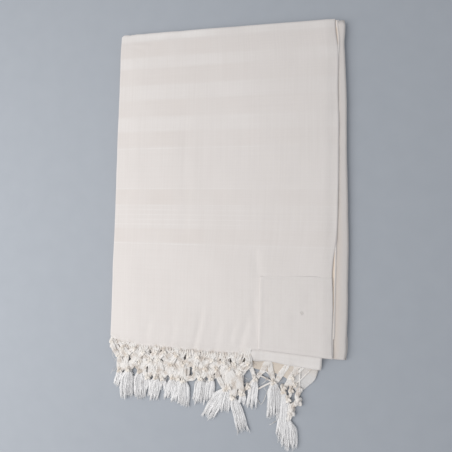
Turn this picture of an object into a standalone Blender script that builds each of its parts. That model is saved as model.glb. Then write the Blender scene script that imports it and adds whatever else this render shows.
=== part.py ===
"""A tallit (prayer shawl), folded in half across its width and in four along its length, lying flat.

Model frame, before the last step: metres, +Z up, x from the left fold towards the selvedges, y from the
end's hem towards the top fold. The last step moves everything so that the origin is the centre of the
footprint, on the surface that the shawl lies on.

The shawl's real cut is 0.62 x 1.80 m. What shows from above is one end, half its width and a quarter of
its length, with the other end and the middle fold peeping out below and to the right of it.
"""

from math import cos, pi, sin

import bmesh
import bpy
from mathutils import Vector

# The cut and the fold.
CUT_WIDTH = 0.620
CUT_LENGTH = 1.800
PANEL_WIDTH = CUT_WIDTH / 2
PANEL_LENGTH = CUT_LENGTH / 4

# Heights of the stacked layers above the surface.
GAP = 0.0003
CLOTH = 0.0012
THIN_CLOTH = 0.0010
MIDDLE_TOP = 0.0054
HIDDEN_TOP = 0.0090
PANEL_INSIDE = HIDDEN_TOP + GAP
PANEL_OUTSIDE = PANEL_INSIDE + CLOTH
FOLD_RADIUS = PANEL_OUTSIDE / 2

# Where the edges of the layers lie.
LEFT_FOLD = -0.0025
TOP_FOLD = PANEL_LENGTH + 0.0035
INSIDE_TOP = TOP_FOLD - FOLD_RADIUS
FOLD_TURN = 0.0022
SECOND_END_RIGHT = 0.297
MIDDLE_BOTTOM = -0.0070
HALF_SELVEDGE = 0.3156
HALF_SELVEDGE_END = 0.0196
FRINGE_END = 0.197
OVERLAP = 0.0005

# The middle fold: how far its pairs of layers are set back from each other, and the rounding of its rims.
PAIR_SETBACK = 0.0012
PAIR_OVERLAP = 0.02 * MIDDLE_TOP
PAIR_LEFT_SETBACK = 0.0008
PAIR_TOP_STEP = 0.0022
PAIR_ROUNDING = 0.0009

# The hidden layers: the second end stops at a step on the right, the end's other half at another.
STEP_AT = 0.184
STEP_SETBACK = 0.0010
SECOND_END_HEM = 0.0065
OTHER_HALF_HEM = 0.0200
OTHER_HALF_RIGHT = 0.2998
OTHER_HALF_LEFT = LEFT_FOLD + 0.0016
OTHER_HALF_BOTTOM = 0.0008
HIDDEN_CORNER = 0.004

# How far the end sinks at its selvedge and below its hem, and over what distance.
SELVEDGE_DROOP, SELVEDGE_DROOP_FROM, SELVEDGE_DROOP_RUN = 0.0016, 0.298, 0.014
FRINGE_DROOP, FRINGE_DROOP_RUN, FRINGE_DROOP_SIDE = 0.0032, 0.012, 0.010

# The hem's wander is whole at the hem and gone this far above it.
HEM_WANDER_END = 0.060
HEM_WANDER_FADE = 0.050

# The corner patch, a square sewn on the end's corner, and how far it stops short of the edges.
PATCH_LEFT = 0.2135
PATCH_SIZE = 0.098
PATCH_INSET = 0.0012

# The second end's flap: where it comes out from under the patch, and how it drops on to the middle fold.
FLAP_TOP = 0.0058
FLAP_HEIGHT = 0.0081
FLAP_DROP, FLAP_DROP_FROM, FLAP_DROP_RUN = 0.0052, -0.0040, 0.018
FLAP_LEAN, FLAP_LEAN_FROM, FLAP_LEAN_RUN = 0.0035, 0.28, 0.017
UNDER_CORNER_LOW, UNDER_CORNER_HIGH = 0.0004, 0.0014
UNDER_CORNER_ROUNDING = 0.0003

# Edges that wander: each row is a point on the edge.
PANEL_RIGHT_EDGE = (  # y, x
    (0.000, 0.3114), (0.050, 0.3108), (0.095, 0.3088), (0.121, 0.3099), (0.150, 0.3140),
    (0.210, 0.3154), (0.330, 0.3146), (0.413, 0.3125), (0.450, 0.3088),
)
PANEL_HEM = (  # x, y
    (0.000, 0.0010), (0.012, -0.0030), (0.045, -0.0088), (0.160, -0.0110), (0.178, -0.0105),
    (0.192, -0.0062), (0.200, -0.0026), (0.213, -0.0012), (0.312, -0.0062),
)
MIDDLE_RIGHT_EDGE = (  # y, x
    (-0.007, 0.3290), (0.010, 0.3300), (0.050, 0.3295), (0.150, 0.3295), (0.204, 0.3283),
    (0.354, 0.3246), (0.449, 0.3205),
)
FLAP_HEM = (  # x, y
    (0.1975, -0.0155), (0.205, -0.0168), (0.229, -0.0172), (0.269, -0.0222), (0.2935, -0.0236),
)
UNDER_CORNER = (  # x, y, outline of the second end's under layer where it shows
    (0.204, -0.0085), (0.2950, -0.0085), (0.2935, -0.0213), (0.2915, -0.0307), (0.2880, -0.0389),
    (0.2808, -0.0462), (0.2735, -0.0533), (0.2690, -0.0585), (0.2640, -0.0540), (0.2570, -0.0420),
    (0.2400, -0.0350), (0.205, -0.0320),
)

# Columns that the visible end and its net share, so that their meshes meet without crossing, then the
# end's columns under the patch, its rows up to the top fold, and the patch's own columns and rows.
END_COLUMNS = (0.006, 0.030, 0.060, 0.090, 0.120, 0.150, 0.175, 0.192)
PATCH_SIDE_COLUMNS = (0.1985, 0.2135, 0.240, 0.270, 0.295, 0.300, 0.304, PANEL_WIDTH)
END_ROWS = (
    0.0, 0.003, 0.006, 0.012, 0.030, 0.060, 0.095, 0.121, 0.150, 0.200, 0.260, 0.330, 0.380, 0.413, 0.435,
)
TOP_FOLD_END = -0.42 * pi
PATCH_COLUMNS = (
    PATCH_LEFT, 0.226, 0.240, 0.255, 0.270, 0.285, 0.295, 0.300, 0.304, PANEL_WIDTH - PATCH_INSET,
)
PATCH_ROWS = (PATCH_INSET, 0.006, 0.012, 0.030, 0.050, 0.070, PATCH_INSET + PATCH_SIZE)

# The knotted nets: how far below the hem each starts, its thickness and where it ends.
NET_THICKNESS = 0.0028
NET_HEM_GAP = 0.0015
FIRST_NET_LEFT, FIRST_NET_RIGHT = -0.0020, 0.1950
SECOND_NET_RIGHT = 0.2680
FIRST_NET_END = (  # x, y
    (0.000, -0.0440), (0.015, -0.0435), (0.150, -0.0435), (0.175, -0.0540), (0.195, -0.0600),
)
SECOND_NET_END = ((0.1975, -0.0410), (0.2680, -0.0430))  # x, y
FIRST_NET_HEIGHTS = (0.0088, 0.0036, -0.0125, 0.016)  # at the hem, on the surface, start and run of the fall
SECOND_NET_HEIGHTS = (0.0046, 0.0046, -0.0200, 0.010)

# The tassels of the knotted fringe. Level 1 lies over its neighbours.
TASSEL_FLATNESS = 0.42
TASSEL_CLEARANCE = 0.0004
LEVEL_STEP = 0.0048
TASSEL_SECTIONS = (  # share of the length, share of the width: the knot, the neck, then the skirt
    (0.00, 0.30), (0.07, 0.55), (0.15, 0.50), (0.22, 0.38), (0.45, 0.78), (0.85, 1.00), (1.00, 0.80),
)
TASSELS = (  # x, y of the knot, x, y of the tip, width, level
    (0.0120, -0.0470, 0.0065, -0.0710, 0.0080, 0),
    (0.0245, -0.0450, 0.0225, -0.0870, 0.0135, 0),
    (0.0425, -0.0455, 0.0440, -0.0860, 0.0125, 0),
    (0.0550, -0.0530, 0.0540, -0.0780, 0.0045, 0),
    (0.0675, -0.0520, 0.0625, -0.0850, 0.0100, 0),
    (0.0770, -0.0530, 0.0770, -0.0720, 0.0065, 0),
    (0.0925, -0.0505, 0.0845, -0.0855, 0.0085, 0),
    (0.1005, -0.0510, 0.0955, -0.0880, 0.0080, 0),
    (0.1085, -0.0530, 0.1090, -0.0895, 0.0125, 0),
    (0.1330, -0.0480, 0.1290, -0.0840, 0.0130, 0),
    (0.1485, -0.0467, 0.1460, -0.0780, 0.0095, 0),
    (0.1695, -0.0605, 0.1440, -0.1020, 0.0110, 0),
    (0.1738, -0.0564, 0.1665, -0.0930, 0.0110, 1),
    (0.1790, -0.0700, 0.1950, -0.1150, 0.0130, 0),
    (0.1932, -0.0631, 0.1902, -0.0812, 0.0055, 0),
    (0.2095, -0.0430, 0.2055, -0.0840, 0.0105, 0),
    (0.2358, -0.0450, 0.2365, -0.0910, 0.0090, 0),
    (0.2480, -0.0560, 0.2440, -0.1220, 0.0085, 0),
    (0.2534, -0.0931, 0.2575, -0.1300, 0.0125, 0),
)
CORD_RADIUS = 0.0024
CORD_HEIGHT = 0.0028
CORNER_CORD = (  # x, y
    (0.2670, -0.0630), (0.2680, -0.0678), (0.2620, -0.0722), (0.2568, -0.0763), (0.2592, -0.0819),
    (0.2580, -0.0862), (0.2556, -0.0895),
)

CLOTH_COLOUR = (0.72, 0.68, 0.64, 1.0)
PATCH_COLOUR = (0.70, 0.66, 0.62, 1.0)
FRINGE_COLOUR = (0.80, 0.79, 0.78, 1.0)


def smooth(t):
    """0 below 0, 1 above 1, and an even S between."""
    t = min(max(t, 0.0), 1.0)
    return t * t * (3 - 2 * t)


def along(table, at):
    """The table's second column at a value of its first, eased between the rows."""
    if at <= table[0][0]:
        return table[0][1]
    for (start, low), (end, high) in zip(table, table[1:]):
        if at <= end:
            return low + (high - low) * smooth((at - start) / (end - start))
    return table[-1][1]


def new_collection(name):
    collection = bpy.data.collections.new(name)
    bpy.context.scene.collection.children.link(collection)
    return collection


def new_material(name, colour, roughness):
    material = bpy.data.materials.new(name)
    material.use_nodes = True
    shader = material.node_tree.nodes["Principled BSDF"]
    shader.inputs["Base Color"].default_value = colour
    shader.inputs["Roughness"].default_value = roughness
    return material


def add_object(name, data, material, collection):
    thing = bpy.data.objects.new(name, data)
    data.materials.append(material)
    collection.objects.link(thing)
    return thing


def spread(low, high, count):
    """Evenly spaced values, both ends included."""
    return [low + (high - low) * i / (count - 1) for i in range(count)]


def cloth_sheet(name, columns, rows, place, thickness, material, collection):
    """A grid whose point for (column, row) is place(column, row), as a wall that grows downwards."""
    bm = bmesh.new()
    bmesh.ops.create_grid(bm, x_segments=len(columns) - 1, y_segments=len(rows) - 1, size=0.5)
    for vert in bm.verts:
        i = round((vert.co.x + 0.5) * (len(columns) - 1))
        j = round((vert.co.y + 0.5) * (len(rows) - 1))
        vert.co = place(columns[i], rows[j])
    mesh = bpy.data.meshes.new(name)
    bm.to_mesh(mesh)
    bm.free()
    mesh.shade_smooth()
    sheet = add_object(name, mesh, material, collection)
    wall = sheet.modifiers.new("wall", "SOLIDIFY")
    wall.thickness = thickness
    wall.offset = -1
    return sheet


def flat_slab(name, outline, low, high, rounding, material, collection):
    """A flat outline with rounded rims, as a 2D curve, between two heights."""
    curve = bpy.data.curves.new(name, "CURVE")
    curve.dimensions = "2D"
    curve.fill_mode = "BOTH"
    curve.extrude = (high - low) / 2 - rounding
    curve.bevel_depth = rounding
    curve.bevel_resolution = 2
    curve.offset = -rounding
    spline = curve.splines.new("POLY")
    spline.points.add(len(outline) - 1)
    for point, (x, y) in zip(spline.points, outline):
        point.co = (x, y, 0, 1)
    spline.use_cyclic_u = True
    slab = add_object(name, curve, material, collection)
    slab.location.z = (low + high) / 2
    return slab


def as_mesh(thing):
    """The curve object's evaluated shape as a welded mesh object that takes its place."""
    bpy.context.view_layer.update()
    graph = bpy.context.evaluated_depsgraph_get()
    mesh = bpy.data.meshes.new_from_object(thing.evaluated_get(graph))
    bm = bmesh.new()
    bm.from_mesh(mesh)
    bmesh.ops.remove_doubles(bm, verts=bm.verts, dist=1e-6)
    bm.to_mesh(mesh)
    bm.free()
    name, collection, place = thing.name, thing.users_collection[0], thing.matrix_world.copy()
    bpy.data.objects.remove(thing)
    solid = bpy.data.objects.new(name, mesh)
    solid.matrix_world = place
    collection.objects.link(solid)
    return solid


def join_layers(base, others):
    """The base slab with the others added to it by Boolean unions."""
    for other in others:
        other.hide_render = True
        other.display_type = "WIRE"
        union = base.modifiers.new("with " + other.name, "BOOLEAN")
        union.operation = "UNION"
        union.object = other
    return base


def layer_outline(left, right_edge, bottom, top, corner=0.004):
    """A layer's outline: a straight left fold, a wandering right edge and rounded corners."""
    right_low, right_high = along(right_edge, bottom), along(right_edge, top)
    corners = (
        (left + corner, bottom + corner, pi, 1.5 * pi),
        (right_low - corner, bottom + corner, 1.5 * pi, 2 * pi),
        (right_high - corner, top - corner, 0, 0.5 * pi),
        (left + corner, top - corner, 0.5 * pi, pi),
    )
    rounds = [
        [(x + corner * cos(a), y + corner * sin(a)) for a in spread(start, end, 4)]
        for x, y, start, end in corners
    ]
    side = [(x, y) for y, x in right_edge if bottom + 2 * corner < y < top - 2 * corner]
    return rounds[0] + rounds[1] + side + rounds[2] + rounds[3]


def end_droop(x, y):
    """How far the visible end sinks at its selvedge, and below its hem on the fringed stretch."""
    at_selvedge = SELVEDGE_DROOP * smooth((x - SELVEDGE_DROOP_FROM) / SELVEDGE_DROOP_RUN)
    at_fringe = FRINGE_DROOP * smooth(-y / FRINGE_DROOP_RUN)
    return at_selvedge + at_fringe * smooth((FRINGE_END - x) / FRINGE_DROOP_SIDE)


def hem_shift(x, y):
    """How far the hem's wander moves a point at x that is y above a straight hem."""
    return smooth((HEM_WANDER_END - y) / HEM_WANDER_FADE) * along(PANEL_HEM, x)


def build_middle_fold(material, parts, helpers):
    """The two lower pairs of layers, joined by the fold across the middle of the shawl's length."""
    lower = flat_slab(
        "middle_fold",
        layer_outline(LEFT_FOLD, MIDDLE_RIGHT_EDGE, MIDDLE_BOTTOM + PAIR_SETBACK, INSIDE_TOP - OVERLAP),
        0, MIDDLE_TOP / 2 + PAIR_OVERLAP, PAIR_ROUNDING, material, parts,
    )
    pulled_in = [(y, x - PAIR_SETBACK) for y, x in MIDDLE_RIGHT_EDGE]
    upper = flat_slab(
        "upper_pair",
        layer_outline(LEFT_FOLD + PAIR_LEFT_SETBACK, pulled_in, MIDDLE_BOTTOM, INSIDE_TOP + PAIR_TOP_STEP),
        MIDDLE_TOP / 2 - PAIR_OVERLAP, MIDDLE_TOP, PAIR_ROUNDING, material, helpers,
    )
    base, pair = as_mesh(lower), as_mesh(upper)
    base.data.materials.append(material)
    return join_layers(base, [pair])


def build_hidden_layers(material, parts, helpers):
    """What lies between the visible end and the middle fold: the second end and the end's other half."""
    top, low = INSIDE_TOP, MIDDLE_TOP + GAP
    split = (low + HIDDEN_TOP) / 2
    second_end = (
        (LEFT_FOLD, 0.0), (STEP_AT, 0.0), (STEP_AT, SECOND_END_HEM), (SECOND_END_RIGHT, SECOND_END_HEM),
        (SECOND_END_RIGHT, top), (LEFT_FOLD + HIDDEN_CORNER, top), (LEFT_FOLD, top - HIDDEN_CORNER),
    )
    step = STEP_AT - STEP_SETBACK
    other_half = (
        (OTHER_HALF_LEFT, OTHER_HALF_BOTTOM), (step, OTHER_HALF_BOTTOM), (step, OTHER_HALF_HEM),
        (OTHER_HALF_RIGHT, OTHER_HALF_HEM), (OTHER_HALF_RIGHT, top - STEP_SETBACK),
        (OTHER_HALF_LEFT, top - STEP_SETBACK),
    )
    lower = flat_slab("hidden_layers", second_end, low, split + 0.0003, 0.0007, material, parts)
    upper = flat_slab("other_half", other_half, split - OVERLAP, HIDDEN_TOP, 0.0005, material, helpers)
    base, pair = as_mesh(lower), as_mesh(upper)
    base.data.materials.append(material)
    return join_layers(base, [pair])


def build_half_selvedge(material, parts):
    """The selvedge of the end's under half, which peeps out along the right."""
    columns = spread(OTHER_HALF_RIGHT + 0.0004, HALF_SELVEDGE, 6)
    rows = spread(HALF_SELVEDGE_END, PANEL_LENGTH - 0.002, 10)

    def place(x, y):
        return Vector((x, y, HIDDEN_TOP - end_droop(x, y)))

    return cloth_sheet("under_half_selvedge", columns, rows, place, THIN_CLOTH, material, parts)


def end_surface(x, y):
    """The outside of the visible end, from its hem to where the top fold starts to turn."""
    right = along(PANEL_RIGHT_EDGE, y)
    if x < LEFT_FOLD + FOLD_TURN:
        return Vector((x, y, PANEL_OUTSIDE))
    across = (x - LEFT_FOLD) / (PANEL_WIDTH - LEFT_FOLD)
    real_x = LEFT_FOLD + across * (right - LEFT_FOLD)
    real_y = y + hem_shift(real_x, y)
    return Vector((real_x, real_y, PANEL_OUTSIDE - end_droop(real_x, real_y)))


def build_visible_end(material, parts):
    """The end that shows: turned down at the left fold, over the top fold and down its back."""
    turn = FOLD_TURN
    folded = [("fold", a) for a in spread(pi, pi / 2, 4)]
    flat = [("flat", x) for x in END_COLUMNS + PATCH_SIDE_COLUMNS]
    rows = [("length", y) for y in END_ROWS] + [("round", a) for a in spread(pi / 2, TOP_FOLD_END, 9)]

    def place(column, row):
        kind, value = column
        if kind == "fold":
            x = LEFT_FOLD + turn + turn * cos(value)
            inward = turn - turn * sin(value)
        else:
            x, inward = value, 0.0
        if row[0] == "length":
            if kind == "fold":
                y = row[1] + hem_shift(LEFT_FOLD, row[1])
                return Vector((x, y, PANEL_OUTSIDE - inward))
            return end_surface(x, row[1])
        radius = FOLD_RADIUS - inward
        point = end_surface(x, INSIDE_TOP) if kind == "flat" else Vector((x, 0, 0))
        sink = PANEL_OUTSIDE - point.z if kind == "flat" else 0.0
        radius -= sink * sin(max(row[1], 0))
        return Vector(
            (point.x, INSIDE_TOP + radius * cos(row[1]), FOLD_RADIUS + radius * sin(row[1]))
        )

    return cloth_sheet("visible_end", folded + flat, rows, place, CLOTH, material, parts)


def build_corner_patch(material, parts):
    """The square sewn over the end's corner, made from the panel's surface and moved out."""
    def place(x, y):
        return end_surface(x, y) + Vector((0, 0, GAP + THIN_CLOTH))

    return cloth_sheet("corner_patch", PATCH_COLUMNS, PATCH_ROWS, place, THIN_CLOTH, material, parts)


def build_second_end_flap(material, parts):
    """The second end's hemmed corner, which hangs out below the patch and down over the middle fold."""
    columns = spread(FRINGE_END + OVERLAP, SECOND_END_RIGHT - OVERLAP, 9)
    rows = spread(0.0, 1.0, 8)

    def place(x, share):
        hem = along(FLAP_HEM, x)
        y = hem + (FLAP_TOP - hem) * share
        lean = FLAP_LEAN * (1 - share) * smooth((x - FLAP_LEAN_FROM) / FLAP_LEAN_RUN)
        z = FLAP_HEIGHT - FLAP_DROP * smooth((FLAP_DROP_FROM - y) / FLAP_DROP_RUN)
        return Vector((x - lean, y, z))

    return cloth_sheet("second_end_flap", columns, rows, place, THIN_CLOTH, material, parts)


def build_under_corner(material, parts):
    """The second end's under layer where it lies out on the surface."""
    return flat_slab(
        "second_end_under_corner", UNDER_CORNER, UNDER_CORNER_LOW, UNDER_CORNER_HIGH,
        UNDER_CORNER_ROUNDING, material, parts,
    )


def build_fringe_net(name, columns, hem, net_end, heights, material, parts):
    """The knotted net of a fringe as a slab of its reach, from the hem down on to the surface."""
    high, low, fall_start, fall = heights
    rows = spread(0.0, 1.0, 8)

    def place(x, share):
        top, bottom = along(hem, x) - NET_HEM_GAP, along(net_end, x)
        y = bottom + (top - bottom) * share
        z = high + (low - high) * smooth((fall_start - y) / fall)
        return Vector((x, y, z))

    return cloth_sheet(name, columns, rows, place, NET_THICKNESS, material, parts)


def build_tassel(name, row, material, parts):
    """A tassel as a flattened tube: a knot, a neck and a skirt that widens to its cut end."""
    knot_x, knot_y, tip_x, tip_y, width, level = row
    curve = bpy.data.curves.new(name, "CURVE")
    curve.dimensions = "3D"
    curve.bevel_depth = width / 2
    curve.bevel_resolution = 2
    curve.use_fill_caps = True
    spline = curve.splines.new("POLY")
    spline.points.add(len(TASSEL_SECTIONS) - 1)
    knot, tip = Vector((knot_x, knot_y, 0)), Vector((tip_x, tip_y, 0))
    for point, (share, wide) in zip(spline.points, TASSEL_SECTIONS):
        point.co = (*knot.lerp(tip, share), 1)
        point.radius = wide
    tassel = add_object(name, curve, material, parts)
    tassel.scale.z = TASSEL_FLATNESS
    tassel.location.z = TASSEL_CLEARANCE + TASSEL_FLATNESS * width / 2 + level * LEVEL_STEP
    return tassel


def build_corner_cord(material, parts):
    """The knotted cord that runs from the under layer's corner to its own tassel."""
    curve = bpy.data.curves.new("corner_cord", "CURVE")
    curve.dimensions = "3D"
    curve.bevel_depth = CORD_RADIUS
    curve.bevel_resolution = 2
    curve.use_fill_caps = True
    spline = curve.splines.new("POLY")
    spline.points.add(len(CORNER_CORD) - 1)
    for point, (x, y) in zip(spline.points, CORNER_CORD):
        point.co = (x, y, CORD_HEIGHT, 1)
    return add_object("corner_cord", curve, material, parts)


def centre_on_footprint(collection):
    """Moves the parts so that the origin is the middle of their footprint."""
    bpy.context.view_layer.update()
    graph = bpy.context.evaluated_depsgraph_get()
    corners = []
    for part in collection.objects:
        shown = part.evaluated_get(graph)
        mesh = shown.to_mesh()
        corners += [shown.matrix_world @ vert.co for vert in mesh.vertices]
        shown.to_mesh_clear()
    middle_x = (min(c.x for c in corners) + max(c.x for c in corners)) / 2
    middle_y = (min(c.y for c in corners) + max(c.y for c in corners)) / 2
    for thing in bpy.data.objects:
        thing.location.x -= middle_x
        thing.location.y -= middle_y


def main():
    for thing in list(bpy.data.objects):
        bpy.data.objects.remove(thing)
    parts = new_collection("tallit")
    helpers = new_collection("helpers")
    cloth = new_material("cloth", CLOTH_COLOUR, 0.85)
    patch = new_material("patch", PATCH_COLOUR, 0.85)
    fringe = new_material("fringe", FRINGE_COLOUR, 0.80)

    build_middle_fold(cloth, parts, helpers)
    build_hidden_layers(cloth, parts, helpers)
    build_half_selvedge(cloth, parts)
    build_visible_end(cloth, parts)
    build_corner_patch(patch, parts)
    build_second_end_flap(cloth, parts)
    build_under_corner(cloth, parts)

    build_fringe_net(
        "first_end_fringe_net", (FIRST_NET_LEFT, *END_COLUMNS, FIRST_NET_RIGHT), PANEL_HEM,
        FIRST_NET_END, FIRST_NET_HEIGHTS, fringe, parts,
    )
    build_fringe_net(
        "second_end_fringe_net", spread(FRINGE_END + OVERLAP, SECOND_NET_RIGHT, 9), FLAP_HEM,
        SECOND_NET_END, SECOND_NET_HEIGHTS, fringe, parts,
    )
    for number, row in enumerate(TASSELS, start=1):
        build_tassel(f"tassel_{number:02d}", row, fringe, parts)
    build_corner_cord(fringe, parts)
    centre_on_footprint(parts)


main()
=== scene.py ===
from math import atan, pi, radians

import bpy
import numpy as np
from mathutils import Euler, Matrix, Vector


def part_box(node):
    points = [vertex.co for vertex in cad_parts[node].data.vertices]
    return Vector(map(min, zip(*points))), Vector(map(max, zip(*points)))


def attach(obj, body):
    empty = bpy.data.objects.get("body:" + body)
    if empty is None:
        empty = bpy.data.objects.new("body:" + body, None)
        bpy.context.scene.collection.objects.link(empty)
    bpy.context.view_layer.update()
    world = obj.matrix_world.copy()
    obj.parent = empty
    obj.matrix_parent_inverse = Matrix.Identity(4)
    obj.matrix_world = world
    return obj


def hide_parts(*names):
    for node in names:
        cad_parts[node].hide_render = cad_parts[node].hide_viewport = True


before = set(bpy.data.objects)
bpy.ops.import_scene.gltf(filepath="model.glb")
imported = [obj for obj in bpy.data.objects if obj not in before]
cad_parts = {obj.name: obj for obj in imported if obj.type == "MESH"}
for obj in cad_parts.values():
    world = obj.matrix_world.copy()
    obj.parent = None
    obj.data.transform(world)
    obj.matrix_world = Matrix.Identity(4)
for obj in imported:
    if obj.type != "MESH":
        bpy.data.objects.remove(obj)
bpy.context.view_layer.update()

# ---- Where things are ----
# All tables below are in metres in the shawl's own coordinates: x from the left fold, y from the end's
# hem to the top fold, z from the surface. ORIGIN is where those start in the frame.

LEFT_FOLD = -0.0025
TOP_FOLD = 0.4535
END_LOW, END_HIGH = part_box("visible_end")
ORIGIN = np.array((END_LOW[0] - LEFT_FOLD, END_HIGH[1] - TOP_FOLD, 0.0))

STACK_HEIGHT = END_HIGH[2]
PANEL_WIDTH = 0.31
PLY = 0.0005
LAYER_HEIGHT = 0.0022
OUTER_RADIUS = STACK_HEIGHT / 2
INSIDE_TOP = TOP_FOLD - OUTER_RADIUS

# How far a ply is from the middle of its layer, and how high the middles of the layers under the visible
# end are.
HALF_GAP = LAYER_HEIGHT / 2 - PLY / 2
SECOND_LEVEL = 0.0069
THIRD_LEVEL = 0.0042
LOWEST_LEVEL = 0.0013

# How the visible end leaves the level: depths of its soft edges, heights of its waves, the share of these
# that its lower ply follows, and what only that ply does.
SELVEDGE_DROP = 0.0013
FRINGE_DROP = 0.0034
LEFT_DROP = 0.0016
TOP_DROP, TOP_RIDGE = 0.0009, 0.0004
WAVE_HEIGHT = 0.0004
EDGE_CURL = 0.0005
LOWER_RISE = 0.85
LOWER_HEM_DROP = 0.0042
SELVEDGE_ROLL = 0.0013
SELVEDGE_SLACK = 0.0004
CORNER_ROUNDING = 0.003

# The other layers: how far their left folds wander, how the second end's flap hangs, and how loosely the
# third layer lies past the panel's selvedge.
LEFT_WANDER = 0.0007
FLAP_DROP, FLAP_CORNER_RISE, FLAP_WAVE = 0.0048, 0.0011, 0.0004
PLY_CLEARANCE = 0.0004
LOOSE_RISE, LOOSE_WAVE, LOOSE_SAG = 0.002, 0.0004, 0.0006
SHEER_PLY = 0.0004
SHEER_LEVEL, SHEER_DROP, SHEER_WAVE, SHEER_LEAST = 0.0042, 0.003, 0.0005, 0.0007
LIP_COLUMNS = 8

PANEL_RIGHT_EDGE = (  # y, x
    (-0.01, 0.3114), (0.05, 0.3108), (0.074, 0.3096), (0.095, 0.3088), (0.121, 0.3099),
    (0.15, 0.3139), (0.203, 0.3153), (0.27, 0.3154), (0.324, 0.3148), (0.352, 0.3136),
    (0.413, 0.3125), (0.434, 0.3097), (0.45, 0.3088), (0.47, 0.308),
)
UNDER_RIGHT_EDGE = (  # y, x
    (0.0, 0.3142), (0.06, 0.3146), (0.1, 0.315), (0.121, 0.3152), (0.18, 0.3148), (0.32, 0.314),
    (0.373, 0.3146), (0.401, 0.3154), (0.421, 0.3162), (0.45, 0.3135), (0.47, 0.312),
)
PANEL_HEM = (  # x, y
    (-0.003, 0.004), (0.004, 0.0), (0.0095, -0.003), (0.025, -0.004), (0.044, -0.009),
    (0.074, -0.008), (0.103, -0.01), (0.132, -0.0105), (0.161, -0.0108), (0.178, -0.01),
    (0.188, -0.0075), (0.198, -0.003), (0.208, -0.0012), (0.23, -0.002), (0.27, -0.004),
    (0.312, -0.0062),
)
UNDER_HEM = (  # x, y
    (-0.003, -0.006), (0.012, -0.014), (0.045, -0.019), (0.16, -0.021), (0.182, -0.02),
    (0.195, -0.012), (0.205, 0.012), (0.316, 0.0196),
)
MIDDLE_RIGHT_EDGE = (  # y, x
    (-0.007, 0.3288), (0.003, 0.3305), (0.023, 0.3303), (0.03, 0.3292), (0.051, 0.3295),
    (0.15, 0.3295), (0.204, 0.3283), (0.272, 0.3263), (0.354, 0.3246), (0.382, 0.3235),
    (0.403, 0.3226), (0.417, 0.3213), (0.44, 0.3222), (0.448, 0.3215), (0.452, 0.319),
)
MIDDLE_FOLD = -0.0072
SECOND_HEM = (  # x, y
    (-0.003, 0.001), (0.184, 0.0005), (0.1945, -0.006), (0.199, -0.015), (0.202, -0.0165),
    (0.229, -0.017), (0.256, -0.021), (0.269, -0.022), (0.2935, -0.0236),
)
UNDER_CORNER_EDGE = (  # y, x, the second end's under half where it lies out on the surface
    (-0.0585, 0.2692), (-0.0533, 0.2735), (-0.0462, 0.2808), (-0.0389, 0.288), (-0.0307, 0.2918),
    (-0.0213, 0.2938), (-0.0085, 0.2945),
)
UNDER_CORNER_HEM = (  # y, x
    (-0.0585, 0.268), (-0.054, 0.264), (-0.042, 0.256), (-0.033, 0.235), (-0.029, 0.208),
    (-0.0085, 0.204),
)

CREASES = (  # x, y of the head, x, y of the foot, width, depth
    (0.1345, 0.064, 0.1235, -0.012, 0.0034, 0.0008),
    (0.16, 0.046, 0.1535, -0.013, 0.0044, 0.0004),
    (0.1815, 0.04, 0.176, 0.004, 0.0026, 0.0005),
    (0.1985, 0.056, 0.1895, -0.002, 0.004, 0.0006),
    (0.208, 0.142, 0.209, 0.096, 0.006, 0.0006),
    (0.208, 0.096, 0.2075, 0.015, 0.004, 0.0005),
    (0.093, 0.038, 0.09, -0.01, 0.004, 0.0004),
    (0.056, 0.042, 0.053, -0.009, 0.005, 0.0004),
    (0.104, 0.36, 0.105, 0.15, 0.007, 0.00025),
    (0.06, 0.433, 0.002, 0.44, 0.0022, 0.0004),
    (0.038, 0.425, 0.001, 0.433, 0.002, 0.0003),
    (0.105, 0.44, 0.015, 0.4455, 0.0022, 0.0003),
)

TOP_DENTS = (  # x, width, depth of the dips along the top fold
    (0.0105, 0.0026, 0.0011), (0.017, 0.0018, 0.0006), (0.033, 0.006, 0.0004), (0.09, 0.008, 0.0003),
)

PATCH_LEFT, PATCH_RIGHT = 0.2132, 0.3092
PATCH_BOTTOM, PATCH_TOP = 0.0008, 0.0985
PATCH_PLY = 0.0004
PATCH_STEP = 0.0115  # share of its side
TOP_SEAM_BOW = 0.0025
SEAM_INSET, SEAM_DEPTH = 0.0022, 0.00015
SIDE_TURNING, SIDE_TURNING_HEIGHT = 0.0055, 0.0002
HEM_TURNING, HEM_TURNING_HEIGHT = 0.0065, 0.00025
STITCH_PITCH, STITCH_LENGTH, STITCH_RISE = 0.003, 0.0019, 0.0003
EYELET = (0.27, 0.0516)
EYELET_INSIDE, EYELET_OUTSIDE, EYELET_DIP = 0.0009, 0.0026, 0.0003
EYELET_STITCHES = 22


def smooth(t):
    """0 below 0, 1 above 1, and an even S between."""
    t = np.clip(t, 0.0, 1.0)
    return t * t * (3 - 2 * t)


def rising(value, start, width):
    """0 up to the start, 1 from a width above it on."""
    return smooth((value - start) / width)


def falling(value, end, width):
    """1 up to a width below the end, 0 from the end on."""
    return smooth((end - value) / width)


def hump(value, middle, width):
    """1 at the middle, and a bell's fall to nothing on both sides."""
    return np.exp(-(((value - middle) / width) ** 2))


def along(table, at):
    """A two-column table's second value at values of its first, as a smooth curve through the rows."""
    rows = np.array(table)
    x, y = rows[:, 0], rows[:, 1]
    slope = np.gradient(y, x)
    at = np.clip(at, x[0], x[-1])
    i = np.clip(np.searchsorted(x, at, side="right") - 1, 0, len(x) - 2)
    step = x[i + 1] - x[i]
    t = (at - x[i]) / step
    low = (1 + 2 * t) * (1 - t) ** 2 * y[i] + t * (1 - t) ** 2 * step * slope[i]
    high = t * t * (3 - 2 * t) * y[i + 1] + t * t * (t - 1) * step * slope[i + 1]
    return low + high


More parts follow.
